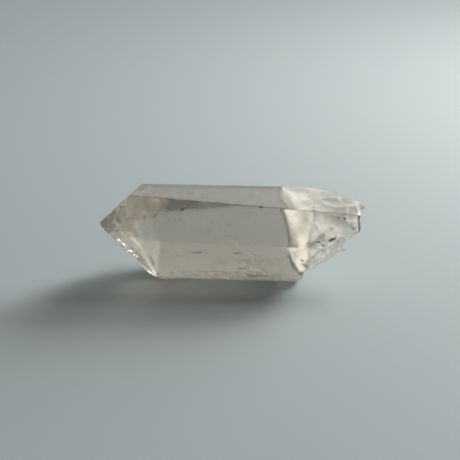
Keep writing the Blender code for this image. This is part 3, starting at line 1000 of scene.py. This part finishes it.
class CrystalSettings(bpy.types.PropertyGroup):
    """Sizes and finish of the crystal."""

    edge_width: bpy.props.FloatProperty(
        name="Edge width", description="How far each rounded ridge reaches from its line", default=0.25
    )
    face_haze: bpy.props.FloatProperty(
        name="Face haze", description="Roughness of the hazier growth faces", default=0.3, subtype="FACTOR"
    )
    clearness: bpy.props.FloatProperty(
        name="Clearness",
        description="Share of light that a growth face doesn't spread",
        default=0.95,
        subtype="FACTOR",
    )
    tip_frost: bpy.props.FloatProperty(
        name="Tip frost",
        description="Share of light that the frosted tip spreads",
        default=0.85,
        subtype="FACTOR",
    )
    chip_roughness: bpy.props.FloatProperty(
        name="Chip roughness", description="Roughness of the glassy chips", default=0.06, subtype="FACTOR"
    )
    break_roughness: bpy.props.FloatProperty(
        name="Break roughness", description="Roughness of the break", default=0.9, subtype="FACTOR"
    )
    crack_cover: bpy.props.FloatProperty(
        name="Crack cover", description="How much light the fine cracks catch where densest", default=0.95
    )
    crack_colour: bpy.props.StringProperty(
        name="Crack colour", description="Colour of the finely cracked quartz", default="#FDFCFA"
    )
    # Painted shade along the top ridge. This colour also tints the far end of the break darker.
    ridge_shade_and_end_colour: bpy.props.StringProperty(
        name="Ridge colour", description="Tint of the shaded top ridge and of the crust", default="#7E7A72"
    )
    speck_colour: bpy.props.StringProperty(
        name="Speck colour", description="Colour of the dark specks", default="#3A3631"
    )
    surface_colour: bpy.props.StringProperty(
        name="Surface colour", description="Tint of light that crosses the surface", default="#E7DFD3"
    )
    smoke_colour: bpy.props.StringProperty(
        name="Smoke colour", description="What the smoke in the quartz lets through", default="#C8BCAA"
    )
    smoke_density: bpy.props.FloatProperty(
        name="Smoke density", description="Strength of the smoke per metre", default=10.0
    )


class StageSettings(bpy.types.PropertyGroup):
    """Floor, lights and camera."""

    floor_colour: bpy.props.StringProperty(
        name="Floor colour", description="The board's colour", default="#98A0A1"
    )
    sky_colour: bpy.props.StringProperty(
        name="Room colour", description="Light from the room all round", default="#F9FFFE"
    )
    bright_side: bpy.props.FloatProperty(
        name="Bright side", description="Strength of the room's light from behind the crystal", default=0.18
    )
    dim_side: bpy.props.FloatProperty(
        name="Dim side", description="Strength of the room's light from the front", default=0.11
    )
    window_strength: bpy.props.FloatProperty(
        name="Window light", description="Strength of the low window at the right and back", default=11.5
    )
    pane_strength: bpy.props.FloatProperty(
        name="Bright pane", description="Strength of the small bright pane high in the window", default=28.0
    )
    backdrop_strength: bpy.props.FloatProperty(
        name="Backdrop", description="Strength of the pale backdrop low behind the crystal", default=0.34
    )
    lamp_power: bpy.props.FloatProperty(
        name="Lamp light", description="Power of the lamp at the right and back", default=1.7, unit="POWER"
    )
    camera_elevation: bpy.props.FloatProperty(
        name="Camera elevation",
        description="How far the camera looks down",
        default=LOOK_DOWN,
        subtype="ANGLE",
    )
    camera_distance: bpy.props.FloatProperty(
        name="Camera distance", description="From the camera to the crystal", default=0.3686, unit="LENGTH"
    )


class QUARTZ_OT_skin(bpy.types.Operator):
    """Make the crystal's skin, with its point, its prism and its break"""

    bl_idname = "quartz.skin"
    bl_label = "Crystal"

    def execute(self, context):
        settings = context.scene.crystal
        rows, is_break = skin_rows(settings.edge_width)
        rows, chip = chipped(dented(cleaved(rows, *WORN_FOOT)), chip_balls() + fine_chips())
        tip, _ = chipped(TIP[None], fine_chips())
        around, count = rows.shape[:2]
        _, across, up = break_axes()
        middle = BREAK_RIM.mean(axis=0, keepdims=True)
        end = break_places(middle @ across, middle @ up)[0]
        mesh = closed_surfaces("crystal", [(rows, tip[0], end)])
        rim = count - BREAK_ROWS
        # The far end of the break is made rough and frosted, and is tinted darker by the ridge's shade
        # colour.
        crust = np.clip((rows[..., 0] - FAR_CRUST[0]) / (FAR_CRUST[1] - FAR_CRUST[0]), 0.0, 1.0)
        crust = crust * (np.arange(count) >= rim - FAR_CRUST_ROWS)
        # Painted shade: a dark line along the top ridge, from the point's foot to the break's rim. The far
        # end of the break is tinted darker through the same attribute.
        line = np.zeros((around, count))
        first = FRONT_UPPER * (ARC_STEPS + SIDE_STEPS)
        line[first : first + ARC_STEPS, POINT_ROWS:rim] = 1.0
        near_tip = np.maximum(1 - np.linalg.norm(rows - TIP, axis=-1) / FROST_REACH, 0.0)
        frosted = near_tip * (1 - chip) * (rows[..., 1] < TIP[1]) + FAR_CRUST_FROST * crust
        set_attribute(mesh, "broken", np.maximum(np.tile(is_break, (around, 1)), crust), (0.0, 1.0))
        set_attribute(mesh, "chipped", chip, (0.0, 0.0))
        set_attribute(mesh, "ridge_shade_and_dark_end", np.maximum(line, crust), (0.0, 0.0))
        set_attribute(mesh, "frosted", frosted, (1.0, 0.0))
        piece = new_piece("crystal", mesh, clear_quartz(settings))
        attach(piece, "root")
        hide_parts(NODE)
        return {"FINISHED"}


class QUARTZ_OT_cracks(bpy.types.Operator):
    """Make the layer of fine cracks under the break"""

    bl_idname = "quartz.cracks"
    bl_label = "Cracked layer"

    def execute(self, context):
        layer, wall = cracked_rows()
        start, end = layer[:, 0].mean(axis=0), layer[:, -1].mean(axis=0)
        mesh = closed_surfaces("cracked_layer", [(layer, start, end)])
        set_attribute(mesh, "wall", wall, (0.0, 0.0))
        piece = new_piece("cracked_layer", mesh, cracked_quartz(context.scene.crystal))
        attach(piece, "root")
        return {"FINISHED"}


class QUARTZ_OT_veils(bpy.types.Operator):
    """Make the thin veils and dark marks inside the crystal"""

    bl_idname = "quartz.veils"
    bl_label = "Veils"

    def execute(self, context):
        parts, dark, caught = veil_parts()
        mesh = closed_surfaces("veils", parts)
        set_attribute(mesh, "dark", dark)
        set_attribute(mesh, "caught", caught)
        piece = new_piece("veils", mesh, veiled_quartz(context.scene.crystal))
        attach(piece, "root")
        return {"FINISHED"}


class QUARTZ_OT_flashes(bpy.types.Operator):
    """Make the small mirror cracks under the chips"""

    bl_idname = "quartz.flashes"
    bl_label = "Flashes"

    def execute(self, context):
        piece = new_piece("flashes", closed_surfaces("flashes", flash_parts()), mirror_cracks())
        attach(piece, "root")
        return {"FINISHED"}


class QUARTZ_OT_stage(bpy.types.Operator):
    """Make the floor, the soft lights and the camera"""

    bl_idname = "quartz.stage"
    bl_label = "Stage"

    def execute(self, context):
        settings = context.scene.stage
        scene = context.scene
        side, z = FLOOR_HALF_SIDE, -FLOOR_DROP
        floor_mesh = bpy.data.meshes.new("floor")
        corners = [(-side, -side, z), (side, -side, z), (side, side, z), (-side, side, z)]
        floor_mesh.from_pydata(corners, [], [(0, 1, 2, 3)])
        new_piece("floor", floor_mesh, pale_board(settings))
        scene.world = room(settings)
        soft_light("lamp", LAMP_PLACE, LAMP_TARGET, LAMP_SIDE, settings.lamp_power)
        scene.camera = front_camera(settings)
        scene.view_settings.view_transform = "Standard"
        return {"FINISHED"}


class QUARTZ_PT_panel(bpy.types.Panel):
    """Lists the crystal's settings and pieces"""

    bl_idname = "QUARTZ_PT_panel"
    bl_label = "Quartz crystal"
    bl_space_type = "VIEW_3D"
    bl_region_type = "UI"
    bl_category = "Crystal"

    def draw(self, context):
        for group in (context.scene.crystal, context.scene.stage):
            for name in group.__annotations__:
                self.layout.prop(group, name)
        for operator in OPERATORS:
            self.layout.operator(operator.bl_idname)


OPERATORS = (QUARTZ_OT_skin, QUARTZ_OT_cracks, QUARTZ_OT_veils, QUARTZ_OT_flashes, QUARTZ_OT_stage)
CLASSES = (CrystalSettings, StageSettings, *OPERATORS, QUARTZ_PT_panel)


def register():
    for each in CLASSES:
        bpy.utils.register_class(each)
    bpy.types.Scene.crystal = bpy.props.PointerProperty(type=CrystalSettings)
    bpy.types.Scene.stage = bpy.props.PointerProperty(type=StageSettings)


def unregister():
    del bpy.types.Scene.stage
    del bpy.types.Scene.crystal
    for each in reversed(CLASSES):
        bpy.utils.unregister_class(each)


def main():
    register()
    bpy.ops.quartz.skin()
    bpy.ops.quartz.cracks()
    bpy.ops.quartz.veils()
    bpy.ops.quartz.flashes()
    bpy.ops.quartz.stage()


if __name__ == "__main__":
    main()
